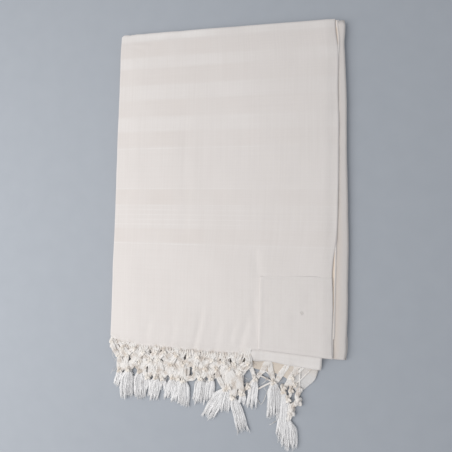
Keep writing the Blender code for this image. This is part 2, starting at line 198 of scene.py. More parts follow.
WAVES = (  # wavelength x, wavelength y, phase, share
    (0.19, 0.33, 0.4, 0.3), (0.11, -0.21, 1.9, 0.24), (0.075, 0.16, 3.1, 0.18),
    (-0.06, 0.095, 4.4, 0.12), (0.043, 0.07, 0.9, 0.09), (0.029, -0.052, 2.6, 0.07),
)


def ripple(x, y, seed=0.0):
    """Slow uneven waves, between about -1 and 1."""
    total = 0.0
    for wave_x, wave_y, phase, share in WAVES:
        total = total + share * np.sin(2 * pi * (x / wave_x + y / wave_y) + phase + seed)
    return total


# ---- Meshes ----

CLOTH_MAP = "cloth"


def add_object(name, data):
    """An object in the scene."""
    thing = bpy.data.objects.new(name, data)
    bpy.context.scene.collection.objects.link(thing)
    return thing


def mesh_object(name, points, faces, coordinates, material):
    """A smooth mesh from arrays. coordinates are each point's place in the cloth, in metres."""
    mesh = bpy.data.meshes.new(name)
    mesh.vertices.add(len(points))
    mesh.vertices.foreach_set("co", (points + ORIGIN).ravel())
    sides = faces.shape[1]
    mesh.loops.add(faces.size)
    mesh.loops.foreach_set("vertex_index", faces.ravel())
    mesh.polygons.add(len(faces))
    mesh.polygons.foreach_set("loop_start", np.arange(0, faces.size, sides))
    mesh.update()
    layer = mesh.uv_layers.new(name=CLOTH_MAP)
    layer.uv.foreach_set("vector", coordinates[faces.ravel()].astype(np.float32).ravel())
    mesh.materials.append(material)
    mesh.validate()
    mesh.shade_smooth()
    return add_object(name, mesh)


def grid_faces(rows, columns):
    """Quads of a grid whose points are numbered row by row."""
    corner = (np.arange(rows - 1)[:, None] * columns + np.arange(columns - 1)[None, :]).ravel()
    return np.stack([corner, corner + 1, corner + columns + 1, corner + columns], axis=1)


def cloth(name, x, y, z, u, v, material, thickness=PLY):
    """A cloth sheet from 2D arrays, as a wall centred on them."""
    rows, columns = x.shape
    points = np.stack([x, y, z], axis=-1).reshape(-1, 3)
    coordinates = np.stack([u, v], axis=-1).reshape(-1, 2)
    sheet = mesh_object(name, points, grid_faces(rows, columns), coordinates, material)
    wall = sheet.modifiers.new("wall", "SOLIDIFY")
    wall.thickness = thickness
    wall.offset = 0
    wall.use_rim = True
    return sheet


def finish_piece(piece, slot, *nodes):
    """Attaches a piece to the root body, and hides the CAD nodes that it takes the place of, if any. slot is
    not used.
    """
    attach(piece, "root")
    if nodes:
        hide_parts(*nodes)


# ---- Doubled layers ----
# Each is folded down its left side, so its section is a long flat U.

def fold_columns(upper, lower):
    """The section's columns: distances from the left fold on the upper ply, then round the lip, then the
    lower ply. Gives their distances from the fold, their sides (1 the upper ply, -1 the lower one) and
    how far the lip stands out sideways."""
    radius = LAYER_HEIGHT / 2
    columns = [(x, 1.0, 0.0) for x in upper]
    for i in range(1, LIP_COLUMNS):
        angle = pi / 2 + pi * i / LIP_COLUMNS
        columns.append((0.0, np.sin(angle), np.cos(angle) * radius))
    columns += [(x, -1.0, 0.0) for x in lower]
    return np.array(columns).T[:, None, :]


def spaced(start, end, step):
    """Evenly spaced values about a step apart, both ends included."""
    count = max(int(round(abs(end - start) / step)), 1)
    return list(np.linspace(start, end, count + 1))


def crease_depth(x, y):
    """How far the creases press the visible end in."""
    total = np.zeros_like(x)
    for head_x, head_y, foot_x, foot_y, width, depth in CREASES:
        run = np.array((foot_x - head_x, foot_y - head_y))
        length = np.hypot(*run)
        run = run / length
        reach = ((x - head_x) * run[0] + (y - head_y) * run[1]) / length
        aside = (x - head_x) * -run[1] + (y - head_y) * run[0]
        aside = aside + 0.0016 * np.sin(reach * 5.0 + head_x * 300)
        fade = smooth(reach / 0.45) * falling(reach, 1.12, 0.25)
        trough = hump(aside, 0.0, width)
        ridge = 0.55 * hump(aside, 1.9 * width, 1.2 * width)
        total = total + depth * fade * (trough - ridge)
    return total


def end_height(x, y):
    """How far the visible end's upper ply lies above its level height: negative is lower."""
    selvedge = -SELVEDGE_DROP * rising(x, 0.296, 0.016)
    fringe = -FRINGE_DROP * falling(y, 0.006, 0.016) * falling(x, 0.206, 0.018)
    soft_left = -LEFT_DROP * falling(x, 0.034, 0.04)
    soft_top = -TOP_DROP * rising(y, 0.428, 0.02) + TOP_RIDGE * hump(y, 0.414, 0.01)
    wave = WAVE_HEIGHT * ripple(x, y) * smooth(x / 0.02)
    edge_curl = EDGE_CURL * ripple(x * 0.2, y * 4.0, 1.3) * rising(x, 0.3, 0.012)
    return selvedge + fringe + soft_left + soft_top + wave + edge_curl - crease_depth(x, y)


def end_top(x, y):
    """The upper face of the visible end's cloth."""
    return STACK_HEIGHT + end_height(x, y)


def cloth_across(distance, side, lip, shape):
    """The place across the cloth: positive on the upper ply, negative on the lower one."""
    return np.broadcast_to(np.where(side > 0, distance, -distance - 0.004) + lip, shape)


def lower_end_rise(share, y):
    """How the visible end's lower ply leaves it: down under the fringe, and rolled along its selvedge."""
    rolled = SELVEDGE_ROLL * (rising(share, 0.985, 0.006) - 1.6 * rising(share, 0.9925, 0.0075))
    slack = -SELVEDGE_SLACK * rising(share, 0.93, 0.04)
    return rolled + slack - LOWER_HEM_DROP * falling(y, -0.0085, 0.011)


def build_visible_end(material):
    """The end that shows: a doubled layer that goes round the top fold to the surface."""
    upper = spaced(PANEL_WIDTH, 0.307, 0.0006) + spaced(0.3045, 0.0, 0.0025)
    lower = [0.0, 0.004, 0.012, 0.03, *spaced(0.06, 0.26, 0.04), 0.285, *spaced(0.292, PANEL_WIDTH, 0.0006)]
    distance, side, lip = fold_columns(upper, lower)
    middle_radius = OUTER_RADIUS - LAYER_HEIGHT / 2
    runs = np.array(
        [0.0, 0.001] + spaced(0.0025, INSIDE_TOP, 0.0025)
        + spaced(INSIDE_TOP, INSIDE_TOP + pi * middle_radius, 0.0009)[1:]
    )
    run = runs[:, None]
    flat_run = np.minimum(run, INSIDE_TOP)
    angle = np.maximum(run - INSIDE_TOP, 0.0) / middle_radius

    share = distance / PANEL_WIDTH
    left = LEFT_FOLD + LAYER_HEIGHT / 2 + 0.0006 * ripple(0.0, flat_run * 1.5, 2.0)
    left = left + CORNER_ROUNDING * smooth(angle / 1.6)
    right = np.where(side > 0, along(PANEL_RIGHT_EDGE, flat_run), along(UNDER_RIGHT_EDGE, flat_run))
    x = left + share * (right - left) + lip
    hem = np.where(side > 0, along(PANEL_HEM, x), along(UNDER_HEM, x))
    y = flat_run + hem * falling(run, 0.06, 0.05)

    rise = end_height(x, y) * np.where(side > 0, 1.0, LOWER_RISE)
    rise = rise + lower_end_rise(share, y) * (side < 0) - 0.0008 * rising(share, 0.994, 0.006) * (side > 0)
    bulge = 1 + 0.1 * ripple(x, run, 0.7)
    offset = side * HALF_GAP * bulge + rise * np.cos(np.minimum(angle, pi / 2))
    reach = middle_radius + offset
    dents = sum(depth * hump(x, at, width) for at, width, depth in TOP_DENTS)
    y = y + (reach - dents) * np.sin(angle)
    z = STACK_HEIGHT / 2 + reach * np.cos(angle)
    u = cloth_across(distance, side, lip, x.shape)
    v = np.broadcast_to(run, x.shape) + (y - run) * (run < INSIDE_TOP)
    sheet = cloth("folded_end", x, y, z, u, v, material)
    finish_piece(sheet, "cloth", "visible_end", "under_half_selvedge")


def build_middle(material):
    """The two lower doubled layers, joined by the fold across the middle of the shawl's length."""
    upper = spaced(PANEL_WIDTH, 0.295, 0.003) + spaced(0.285, 0.02, 0.0125) + [0.01, 0.004, 0.0]
    distance, side, lip = fold_columns(upper, upper[::-1])
    radius = (THIRD_LEVEL - LOWEST_LEVEL) / 2
    turn = MIDDLE_FOLD + radius + LAYER_HEIGHT / 2
    straight = INSIDE_TOP + 0.001 - turn
    first = [straight - r for r in spaced(straight, 0.012, 0.006) + [0.006, 0.002, 0.0]]
    round_ = [straight + a for a in spaced(0.0, pi * radius, 0.0006)[1:-1]]
    last = [straight + pi * radius + (straight - r) for r in first[::-1]]
    run = np.array(first + round_ + last)[:, None]

    angle = np.clip((run - straight) / radius, 0.0, pi)
    past = np.maximum(run - straight - pi * radius, 0.0)
    flat_y = turn + np.maximum(straight - run, 0.0) + past
    upper_run = run > straight + pi * radius / 2
    left = LEFT_FOLD + LAYER_HEIGHT / 2 + 0.0008 * upper_run
    left = left + LEFT_WANDER * ripple(0.0, flat_y * 1.7 + 0.3 * upper_run, 0.5)
    stagger = -0.0024 * upper_run * falling(flat_y, 0.034, 0.016) - 0.0012 * (side <= 0)
    stagger = stagger - 0.001 * ~upper_run * rising(flat_y, 0.034, 0.03)
    wander = 0.0005 * ripple(0.1 * side, flat_y * 2.2, 3.3)
    right = along(MIDDLE_RIGHT_EDGE, flat_y) + stagger + wander
    x = left + distance / PANEL_WIDTH * (right - left) + lip

    level = LOWEST_LEVEL + radius * (1 - np.cos(angle))
    beyond = rising(x, 0.3065, 0.009) * falling(x, 0.336, 0.012)
    loose = (LOOSE_WAVE * ripple(x, flat_y, 1.1) + LOOSE_RISE) * beyond * upper_run
    sag = -LOOSE_SAG * rising(x, 0.318, 0.012) * upper_run
    offset = side * HALF_GAP
    y = flat_y - (radius + offset) * np.sin(angle)
    z = level - offset * np.cos(angle) + loose + sag
    # The lowest layer's underside rests flat.
    z = np.where(upper_run, z, np.maximum(z, PLY / 2 + 0.0001))
    u = cloth_across(distance, side, lip, x.shape)
    v = np.broadcast_to(run + 0.47, x.shape)
    sheet = cloth("folded_middle", x, y, z, u, v, material)
    finish_piece(sheet, "cloth", "middle_fold")


def build_second_end(material):
    """The other end of the shawl, between the visible end and the middle layers."""
    upper = spaced(PANEL_WIDTH, 0.2, 0.0035) + spaced(0.195, 0.02, 0.005) + [0.014, 0.009, 0.004, 0.0]
    lower = [0.0, 0.004, 0.01] + spaced(0.02, PANEL_WIDTH, 0.0125)
    distance, side, lip = fold_columns(upper, lower)
    radius = (SECOND_LEVEL - THIRD_LEVEL) / 2
    runs = np.array(
        spaced(0.0, 0.04, 0.002) + spaced(0.044, INSIDE_TOP, 0.004)
        + spaced(INSIDE_TOP, INSIDE_TOP + pi * radius, 0.0007)[1:]
    )
    run = runs[:, None]
    flat_run = np.minimum(run, INSIDE_TOP)
    angle = np.maximum(run - INSIDE_TOP, 0.0) / radius

    left = LEFT_FOLD + LAYER_HEIGHT / 2 + LEFT_WANDER * ripple(0.0, flat_run * 1.3, 4.0) + 0.0005
    right = np.where(side > 0, 0.2975 - 0.004 * falling(run, 0.006, 0.02), 0.301)
    x = left + distance / PANEL_WIDTH * (right - left) + lip
    hem = np.where(side > 0, along(SECOND_HEM, x), 0.001)
    y = flat_run + hem * falling(run, 0.04, 0.038)

    hanging = falling(y, -0.004, 0.018)
    fold_wave = FLAP_WAVE * np.sin(x / 0.0075 + 1.0) * hanging
    offset = side * HALF_GAP
    z_flat = SECOND_LEVEL + offset - FLAP_DROP * hanging * (side > 0) + fold_wave
    z_flat = z_flat + FLAP_CORNER_RISE * falling(x, 0.224, 0.018) * rising(x, 0.184, 0.01) * (side > 0)
    # Its upper ply keeps below the visible end's lower ply, wherever that one sinks.
    under_end = STACK_HEIGHT - LAYER_HEIGHT + LOWER_RISE * end_height(x, y) - PLY / 2 - PLY_CLEARANCE
    least = SECOND_LEVEL - HALF_GAP + PLY + PLY_CLEARANCE / 4
    too_high = np.maximum(z_flat - np.maximum(under_end, least), 0.0)
    drop = too_high * (1 + side) / 2 * rising(y, 0.002, 0.006)
    reach = radius + offset
    y = y + reach * np.sin(angle)
    z = np.where(angle > 0, SECOND_LEVEL - radius + reach * np.cos(angle), z_flat)
    z = z - drop * np.maximum(np.cos(angle), 0.0)
    u = cloth_across(distance, side, lip, x.shape)
    v = np.broadcast_to(run + 0.6, x.shape)
    sheet = cloth("folded_second_end", x, y, z, u, v, material)
    finish_piece(sheet, "cloth", "hidden_layers", "second_end_flap")


def build_under_corner(material):
    """The second end's under half where its corner lies out on the surface, thin and sheer."""
    ys = np.array(spaced(-0.0585, -0.009, 0.0015))[:, None]
    shares = np.linspace(0.0, 1.0, 40)[None, :]
    left, right = along(UNDER_CORNER_HEM, ys), along(UNDER_CORNER_EDGE, ys)
    x = left + shares * (right - left)
    y = np.broadcast_to(ys, x.shape)
    hanging = falling(y, -0.0085, 0.014)
    z = SHEER_LEVEL - SHEER_DROP * hanging + SHEER_WAVE * np.sin(x / 0.006 + y / 0.011) * hanging
    z = np.maximum(z, SHEER_LEAST)
    sheet = cloth("second_end_corner", x, y, z, x, y, material, SHEER_PLY)
    finish_piece(sheet, "cloth", "second_end_under_corner")


def patch_surface(x, y):
    """The height of the corner patch's upper face: the visible end's own face, moved out."""
    hem = PATCH_BOTTOM + along(PANEL_HEM, x) * falling(y, 0.06, 0.05)
    from_top = PATCH_TOP + 0.003 * np.sin((x - PATCH_LEFT) * 22) - y
    sewn = np.minimum(x - PATCH_LEFT, from_top)
    inset = np.minimum.reduce([sewn, PATCH_RIGHT - x, y - hem])
    turned_in = SIDE_TURNING_HEIGHT * falling(x - PATCH_LEFT, SIDE_TURNING, 0.0015)
    turned_in = turned_in + HEM_TURNING_HEIGHT * falling(y - hem, HEM_TURNING, 0.001)
    stitched = -SEAM_DEPTH * hump(sewn, SEAM_INSET, 0.0006)
    rounded = -0.0004 * smooth(1 - inset / 0.0018) - 0.00036 * smooth(1 - from_top / 0.008)
    return end_top(x, y) + PATCH_PLY + turned_in + stitched + rounded


def patch_top(share):
    """The patch's top edge, at a share of its width from the left."""
    return PATCH_TOP + TOP_SEAM_BOW * np.sin(share * 2.2)


def build_patch(material):
    """The square sewn on the end's corner, its edges turned in and stitched."""
    across = np.array(spaced(0.0, 1.0, PATCH_STEP))[None, :]
    up = across.T
    x = PATCH_LEFT + across * (PATCH_RIGHT - PATCH_LEFT)
    x = x + (0.001 * (1 - up) - 0.0005 * np.sin(up * 7)) * (across > 0.98)
    y_flat = PATCH_BOTTOM + up * (patch_top(across) - PATCH_BOTTOM)
    y = y_flat + along(PANEL_HEM, x) * falling(y_flat, 0.06, 0.05)
    hole = np.hypot(x - EYELET[0], y - EYELET[1])
    z = patch_surface(x, y) - EYELET_DIP * smooth(1.6 - hole / 0.0008)
    z = z + 0.0002 * ripple(x * 2.5, y * 2.5, 5.0)
    sheet = cloth("corner_patch_cloth", x, y, z, x - PATCH_LEFT, y - PATCH_BOTTOM, material, PATCH_PLY)
    finish_piece(sheet, "patch", "corner_patch")


# ---- Yarn: tubes gathered in one mesh for each piece ----

NEARLY_UP = (0.05, 0.03, 1.0)
AROUND_YARN = 0.002
TINY = 1e-12  # keeps a vector of no length from dividing by zero


def unit(vectors):
    """The vectors, each of length one."""
    return vectors / (np.linalg.norm(vectors, axis=-1, keepdims=True) + TINY)


def lengths_along(path):
    """How far each point of a path is from its start, along it."""
    return np.concatenate([[0], np.cumsum(np.linalg.norm(np.diff(path, axis=0), axis=1))])


class Yarns:
    """Collects tubes and makes one joined mesh of them."""

    def __init__(self):
        self.points, self.faces, self.coordinates, self.count = [], [], [], 0

    def tube(self, path, radius, sides=4):
        """A tube along a path, with one radius or one for each point. With four sides its ends are closed."""
        path = np.asarray(path, float)
        radius = np.broadcast_to(radius, len(path))
        tangent = unit(np.gradient(path, axis=0))
        aside = unit(np.cross(tangent, NEARLY_UP))
        over = np.cross(aside, tangent)
        angles = 2 * pi * np.arange(sides) / sides
        across, above = (turn(angles)[None, :, None] for turn in (np.cos, np.sin))
        ring = across * aside[:, None, :] + above * over[:, None, :]
        points = path[:, None, :] + radius[:, None, None] * ring
        around = np.broadcast_to(angles / (2 * pi) * AROUND_YARN, (len(path), sides))
        run = np.broadcast_to(lengths_along(path)[:, None], (len(path), sides))
        i = np.arange(len(path) - 1)[:, None] * sides
        j = np.arange(sides)[None, :]
        k = (j + 1) % sides
        quads = np.stack([i + j, i + k, i + sides + k, i + sides + j], axis=-1).reshape(-1, 4)
        last = (len(path) - 1) * sides
        ends = [(0, 3, 2, 1), (last, last + 1, last + 2, last + 3)] if sides == 4 else []
        faces = np.concatenate([quads, np.array(ends, int).reshape(-1, 4)])
        self.points.append(points.reshape(-1, 3))
        self.faces.append(faces + self.count)
        self.coordinates.append(np.stack([around, run], axis=-1).reshape(-1, 2))
        self.count += points.shape[0] * sides

    def strand(self, path, width, height, yarns, yarn_radius, twist, rng):
        """A flat twisted bundle of yarns along a path. width may be a value for each point."""
        path = np.asarray(path, float)
        tangent = unit(np.gradient(path, axis=0))
        aside = unit(np.cross(tangent, (0.0, 0.0, 1.0)))
        over = np.cross(aside, tangent)
        length = lengths_along(path)
        width = np.broadcast_to(width, len(path))
        for number in range(yarns):
            turn = 2 * pi * number / yarns + rng.uniform(-0.25, 0.25) + length * twist
            depth = 0.45 + 0.55 * rng.random() ** 0.5
            across = (width / 2 - yarn_radius) * depth * np.cos(turn)
            above = (height / 2 - yarn_radius) * depth * np.sin(turn)
            self.tube(path + across[:, None] * aside + above[:, None] * over, yarn_radius)

    def knot(self, centre, direction, size, rng):
        """An overhand knot: three yarns side by side along a flattened trefoil."""
        pull = unit(np.append(np.asarray(direction, float), 0.0))
        aside = np.array((pull[1], -pull[0], 0.0))
        turn = np.linspace(0, 2 * pi, 37)
        tilt = rng.uniform(-0.35, 0.35)
        for lane in (-1, 0, 1):
            reach = size * (0.15 + 0.03 * lane)
            across = reach * (np.sin(turn) + 2 * np.sin(2 * turn)) * 0.86
            down = reach * (np.cos(turn) - 2 * np.cos(2 * turn)) * 1.05
            over = -size * 0.2 * np.sin(3 * turn) + tilt * across + size * 0.05 * rng.uniform(-1, 1)
            path = np.asarray(centre) + np.outer(across, aside) + np.outer(down, pull)
            path[:, 2] = np.maximum(path[:, 2] + over, size * 0.12)
            self.tube(path, size * 0.145, 5)

    def to_object(self, name, material):
        """The tubes as one object."""
        return mesh_object(
            name, np.concatenate(self.points), np.concatenate(self.faces),
            np.concatenate(self.coordinates), material,
        )


TASSELS = (  # x, y of the knot, x, y of the tip, width, level
    (0.012, -0.047, 0.0065, -0.071, 0.0085, 0),
    (0.0245, -0.045, 0.0225, -0.087, 0.0138, 0),
    (0.0425, -0.0455, 0.0445, -0.086, 0.013, 0),
    (0.055, -0.053, 0.0545, -0.08, 0.0065, 0),
    (0.0675, -0.052, 0.0622, -0.0855, 0.0108, 0),
    (0.077, -0.053, 0.077, -0.0725, 0.0066, 0),
    (0.0925, -0.0505, 0.0842, -0.0855, 0.0086, 0),
    (0.1005, -0.051, 0.0958, -0.0885, 0.008, 0),
    (0.108, -0.053, 0.1088, -0.0895, 0.0122, 0),
    (0.133, -0.048, 0.129, -0.0845, 0.0128, 0),
    (0.1485, -0.0467, 0.1455, -0.0785, 0.01, 0),
    (0.1695, -0.06, 0.1435, -0.103, 0.0125, 0),
    (0.1738, -0.0564, 0.166, -0.093, 0.0115, 1),
    (0.179, -0.07, 0.1945, -0.116, 0.0108, 0),
    (0.1932, -0.0631, 0.1902, -0.0812, 0.0062, 0),
    (0.2098, -0.0428, 0.2053, -0.0842, 0.0092, 0),
    (0.2345, -0.045, 0.2355, -0.0935, 0.0138, 0),
    (0.248, -0.056, 0.244, -0.1225, 0.0108, 0),
    (0.2534, -0.0931, 0.2565, -0.1315, 0.015, 0),
)

# The stretch of the visible end's hem that fringe hangs from.
FRINGED_HEM = PANEL_HEM[:9] + ((0.1955, -0.0118), (0.2045, -0.0125))

# The thin yarns that make up a strand: how many, and their radius. Strands that lie deeper are coarser.
FINE_PLY = (11, 0.00098)
COARSE_PLY = (8, 0.00125)

# The net hangs in three layers, one over another, between the levels 0 and 1. The second end's fringe lies
# at a level of its own, below its flap.
LOWEST, BETWEEN, UPPERMOST = 0.0, 0.45, 1.0
FLAP_LEVEL = -1
NETS = (  # depths of the rows of knots below the hem, x of the first knot, level, yarns of a strand
    ((0.0105, 0.0235), 0.007, LOWEST, COARSE_PLY),
    ((0.015, 0.028), 0.003, BETWEEN, COARSE_PLY),
    ((0.008, 0.0205), -0.001, UPPERMOST, FINE_PLY),
)
NET_HOLES = (  # x, y, radius of the gaps between the strands
    (0.0538, -0.029, 0.0024), (0.0544, -0.0452, 0.0026), (0.0706, -0.048, 0.0014),
    (0.0845, -0.05, 0.003), (0.0996, -0.047, 0.0014), (0.1426, -0.05, 0.0034),
    (0.153, -0.0403, 0.002), (0.16, -0.056, 0.0024), (0.187, -0.058, 0.0018),
    (0.1962, -0.0399, 0.0034), (0.033, -0.043, 0.0016), (0.12, -0.044, 0.0026),
)
HOLE_CLEARANCE = 0.002
NET_PITCH = 0.0165
NET_END = 0.203
FIRST_END_TASSELS = 15

SECOND_STRANDS = (  # x, y of the head, x, y of the foot, width
    (0.1985, -0.015, 0.2088, -0.0425, 0.0076), (0.2275, -0.014, 0.2108, -0.0425, 0.008),
    (0.228, -0.015, 0.235, -0.044, 0.0082), (0.255, -0.017, 0.2382, -0.044, 0.0084),
    (0.269, -0.019, 0.249, -0.052, 0.008), (0.231, -0.044, 0.2146, -0.0375, 0.003),
    (0.2088, -0.044, 0.196, -0.058, 0.0064), (0.196, -0.058, 0.1815, -0.0685, 0.0064),
    (0.234, -0.044, 0.2125, -0.057, 0.003), (0.212, -0.04, 0.224, -0.0313, 0.0022),
    (0.224, -0.0313, 0.233, -0.043, 0.0024), (0.277, -0.0205, 0.2591, -0.0362, 0.0046),
    (0.2591, -0.0362, 0.258, -0.0536, 0.005), (0.258, -0.0536, 0.2542, -0.0659, 0.0046),
    (0.2473, -0.0519, 0.2542, -0.0659, 0.0046), (0.2542, -0.0659, 0.2562, -0.0755, 0.0044),
    (0.262, -0.019, 0.26, -0.048, 0.003), (0.286, -0.0215, 0.264, -0.045, 0.0022),
    (0.264, -0.045, 0.258, -0.0536, 0.003), (0.27, -0.02, 0.269, -0.054, 0.0022),
)
SECOND_KNOTS = (  # x, y, size
    (0.2, -0.054, 0.0076), (0.1905, -0.0628, 0.008),
    (0.2478, -0.0515, 0.0084), (0.2542, -0.0659, 0.008), (0.2591, -0.0362, 0.0066),
    (0.2582, -0.0536, 0.0074), (0.264, -0.0455, 0.0058),
)
FIRST_LOOSE_YARNS = (  # x, y of the head, of the middle, of the foot
    (0.08, -0.05, 0.0905, -0.056, 0.085, -0.065), (0.086, -0.048, 0.0925, -0.062, 0.08, -0.07),
    (0.076, -0.06, 0.086, -0.07, 0.09, -0.06), (0.142, -0.044, 0.138, -0.056, 0.1425, -0.06),
)
SECOND_LOOSE_YARNS = (
    (0.212, -0.068, 0.2167, -0.0763, 0.2285, -0.0537), (0.23, -0.103, 0.236, -0.099, 0.24, -0.096),
)
CORNER_CORD = (  # x, y
    (0.2715, -0.049), (0.2686, -0.0545), (0.2656, -0.061), (0.2682, -0.0678), (0.2616, -0.0724),
    (0.2564, -0.0763), (0.2595, -0.0819), (0.2579, -0.0873), (0.2534, -0.0931),
)
CORD_KNOTS = (3, 6)  # which of its points
CORD_WIDTH, CORD_HEIGHT = 0.0072, 0.005
CORD_PLY = (14, 0.001)
CORD_TWIST = 260.0

STRAND_WIDTH = 0.0082
STRAND_HEIGHT = 0.003
STRAND_POINTS = 13
STRAND_REST, STRAND_CLIMB, LEVEL_STEP = 0.0022, 0.0036, 0.0018
FAN_ON_CLOTH = 0.01
UNDER_FLAP = 0.0015
NET_KNOT, TASSEL_KNOT, CORD_KNOT = 0.0072, 0.0074, 0.0102
HAIR_RADIUS, LOOSE_RADIUS = 0.00022, 0.00034
FIRST_HAIRS, SECOND_HAIRS = 90, 25

TASSEL_SPREAD = 0.72
TASSEL_NECK = 0.42
TASSEL_YARN_RADIUS = 0.00042
TASSEL_BUNDLE_RADIUS = 0.00095
TASSEL_BUNDLE_PITCH = 0.001
TASSEL_YARNS = (22, 4800)  # for any tassel, and for each metre of its width
TUFT_PITCH = 0.0027
TUFT_DRAW = 0.42


def lie(y, level):
    """The height of a strand's middle: high at the hem, then down on to the surface. It is low all the way
    under the flap."""
    if level == FLAP_LEVEL:
        return UNDER_FLAP
    return STRAND_REST + STRAND_CLIMB * rising(y, -0.034, 0.022) + level * LEVEL_STEP


def curve_through(points, count):
    """A smooth path through a few points."""
    points = np.asarray(points, float)
    length = lengths_along(points)
    at = np.linspace(0, length[-1], count)
    return np.stack([along(np.stack([length, points[:, i]], axis=1), at) for i in range(3)], axis=1)


def round_holes(path, clear):
    """The path led round the net's holes, on the side where it already is, with its two ends kept."""
    heading = unit(path[-1, :2] - path[0, :2])
    across = np.array((-heading[1], heading[0]))
    share = np.linspace(0, 1, len(path))
    kept_ends = smooth(np.minimum(share, 1 - share) / 0.15)
    for x, y, radius in NET_HOLES:
        ahead = (path[:, :2] - (x, y)) @ heading
        beside = (path[:, :2] - (x, y)) @ across
        side = 1.0 if beside[np.argmin(np.abs(ahead))] >= 0 else -1.0
        reach = radius + clear
        wanted = reach * np.sqrt(np.clip(1 - (ahead / (1.3 * reach)) ** 2, 0, None))
        push = np.maximum(wanted - beside * side, 0) * (wanted > 0) * kept_ends
        path[:, :2] += np.outer(side * push, across)
    return path


def add_leg(yarns, start, end, level, bow, rng, width=STRAND_WIDTH, ply=FINE_PLY):
    """One strand of the net between two knots, a little bowed."""
    start, end = np.array(start), np.array(end)
    middle = (start + end) / 2 + rng.uniform(-bow, bow, 2)
    spots = [np.array((*p, lie(p[1], level))) for p in (start, middle, end)]
    spots[1][2] += rng.uniform(0.0, 0.0008) * (level != FLAP_LEVEL)
    share = np.linspace(0, 1, STRAND_POINTS)
    path = round_holes(curve_through(spots, len(share)), width / 4)
    wide = width * (1 - 0.3 * smooth(np.abs(share - 0.5) / 0.5 - 0.4))
    twist = rng.choice((-1, 1)) * rng.uniform(40, 130)
    height = STRAND_HEIGHT * (0.8 if level == FLAP_LEVEL else 1)
    count, radius = ply
    count = max(int(round(count * width / STRAND_WIDTH)), 4)
    yarns.strand(path, wide, height, count, radius, twist, rng)


def add_fan(yarns, top_x, width, rests_on, end, level, rng, ply):
    """Warp ends that leave the cloth side by side and run together into one strand."""
    share = np.linspace(0, 1, STRAND_POINTS)
    gather = rising(share, 0.15, 0.75)
    count, full_radius = ply
    for spot in np.linspace(-1, 1, count):
        x0 = np.clip(top_x + spot * width / 2 + rng.normal(0, 0.0004), 0.0005, NET_END)
        edge = float(along(PANEL_HEM, x0))
        y0 = edge + (FAN_ON_CLOTH * rng.uniform(0.15, 1.0) if rests_on else 0.002)
        end_x = end[0] + spot * STRAND_WIDTH * 0.34 * rng.choice((-1, 1))
        x = x0 + (end_x - x0) * (0.1 * share + 0.9 * gather)
        y = y0 + (end[1] - y0) * share
        z = lie(y, level) + STRAND_HEIGHT * 0.32 * np.sin(spot * 7 + share * 3)
        radius = full_radius * (0.16 + 0.76 * smooth((edge + 0.0065 - y) / 0.011))
        if rests_on:
            on_cloth = rests_on(x, y) - radius * 0.5
            z = z + (on_cloth - z) * smooth((y - edge + 0.006) / 0.006)
        yarns.tube(round_holes(np.column_stack([x, y, z]), radius.max()), radius)


def net_knots(depths, start, rng):
    """Rows of the net's knots below the hem, every other row half a pitch across."""
    rows = []
    for number, depth in enumerate(depths):
        x = np.arange(start + NET_PITCH / 2 * (number % 2), NET_END, NET_PITCH)
        x = x + rng.uniform(-0.003, 0.003, len(x))
        y = along(FRINGED_HEM, x) - depth + rng.uniform(-0.0034, 0.0026, len(x))
        knots = np.column_stack([x, y])
        for hole_x, hole_y, radius in NET_HOLES:
            away = knots - (hole_x, hole_y)
            distance = np.linalg.norm(away, axis=1, keepdims=True)
            clear = radius + HOLE_CLEARANCE
            knots = np.where(distance < clear, (hole_x, hole_y) + away / distance * clear, knots)
        rows.append(knots)
    return rows


def add_net(yarns, knots, depths, start, level, rng, ply):
    """One layer's net: fans to the first knots, a lattice of strands, then two strands to each tassel from
    all but the layer between. Only the uppermost layer's knots are tied."""
    rows = net_knots(depths, start, rng)
    on_cloth = end_top if level == UPPERMOST else None
    for knot in rows[0]:
        for side in (-1, 1):
            middle = knot[0] + side * NET_PITCH / 4
            add_fan(yarns, middle, NET_PITCH / 2, on_cloth, knot, level, rng, ply)
    for upper, lower in zip(rows, rows[1:]):
        for knot in lower:
            for other in upper[np.abs(upper[:, 0] - knot[0]) < 0.8 * NET_PITCH]:
                add_leg(yarns, other, knot, level, 0.003, rng, ply=ply)
    tasseled = () if level == BETWEEN else TASSELS[:FIRST_END_TASSELS]
    for tassel_x, tassel_y, *_ in tasseled:
        tied = np.array((tassel_x, tassel_y))
        nearest = rows[-1][np.argsort(np.abs(rows[-1][:, 0] - tied[0]))[:2]]
        for knot in nearest:
            foot = tied + (np.sign(knot[0] - tied[0]) * 0.0012, 0.0)
            add_leg(yarns, knot, foot, level, 0.0026, rng, ply=ply)
    if level == UPPERMOST:
        for knot in np.concatenate(rows):
            height = lie(knot[1], level) + 0.0006
            knots.knot((*knot, height), (rng.uniform(-0.9, 0.9), -1.0), NET_KNOT, rng)


def add_tassel_knots(knots, rows, level, rng):
    """The knots that tie the tassels."""
    raised = 0.0012 if level == FLAP_LEVEL else 0.0008
    for knot_x, knot_y, tip_x, tip_y, *_ in rows:
        lean = (tip_x - knot_x, tip_y - knot_y)
        knots.knot((knot_x, knot_y, lie(knot_y, level) + raised), lean, TASSEL_KNOT, rng)


